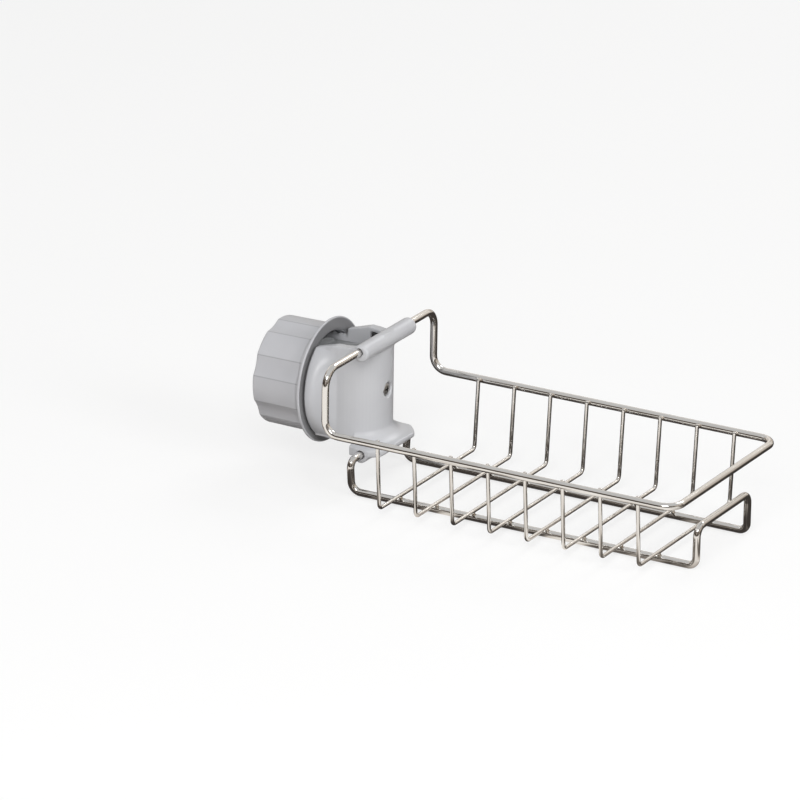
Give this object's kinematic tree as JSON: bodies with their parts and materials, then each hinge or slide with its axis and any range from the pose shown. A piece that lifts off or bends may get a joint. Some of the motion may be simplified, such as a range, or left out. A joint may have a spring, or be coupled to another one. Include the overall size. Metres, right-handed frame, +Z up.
{
  "type": "sink organizer",
  "caption": "Chromed wire basket that hangs beside a round water pipe from a grey plastic screw clamp.",
  "frame": {"origin": "middle of the gripped pipe, where the clamp's screw axis crosses it", "axes": "+X from the clamp towards the basket's free end, +Z up along the pipe, the knob points along -X"},
  "size_m": [0.2721, 0.1204, 0.0831],
  "materials": {
    "chromed_wire": "bright plated steel wire",
    "grey_plastic": "moulded light grey plastic, satin",
    "knob_plastic": "moulded light grey plastic, satin",
    "pad_plastic": "moulded grey plastic",
    "black_rubber": "soft black rubber",
    "screw_steel": "plated steel"
  },
  "bodies": {
    "clamp": {"clamp_body": "grey_plastic", "seat_liner": "black_rubber", "front_screw": "screw_steel"},
    "basket": {"top_rail": "chromed_wire", "rib_1": "chromed_wire", "rib_2": "chromed_wire", "rib_3": "chromed_wire", "rib_4": "chromed_wire", "rib_5": "chromed_wire", "rib_6": "chromed_wire", "rib_7": "chromed_wire", "rib_8": "chromed_wire", "lower_frame": "chromed_wire"},
    "pad": {"pressure_pad": "pad_plastic", "pad_liner": "black_rubber"},
    "knob": {"knob": "knob_plastic"}
  },
  "joints": [
    {"name": "basket_side_slide", "type": "slide", "parent": "clamp", "child": "basket", "axis": [0, 1, 0], "range_m": [-0.0004, 0.0062]},
    {"name": "pad_slide", "type": "slide", "parent": "clamp", "child": "pad", "axis": [1, 0, 0], "range_m": [-0.0091, 0]},
    {"name": "knob_turn", "type": "hinge", "parent": "pad", "child": "knob", "pos_m": [-0.047, 0, 0], "axis": [1, 0, 0], "range_deg": [-810, 0]}
  ],
  "couplings": [
    {"joint": "pad_slide", "follows": "knob_turn", "m_per_rad": 0.00063662}
  ]
}
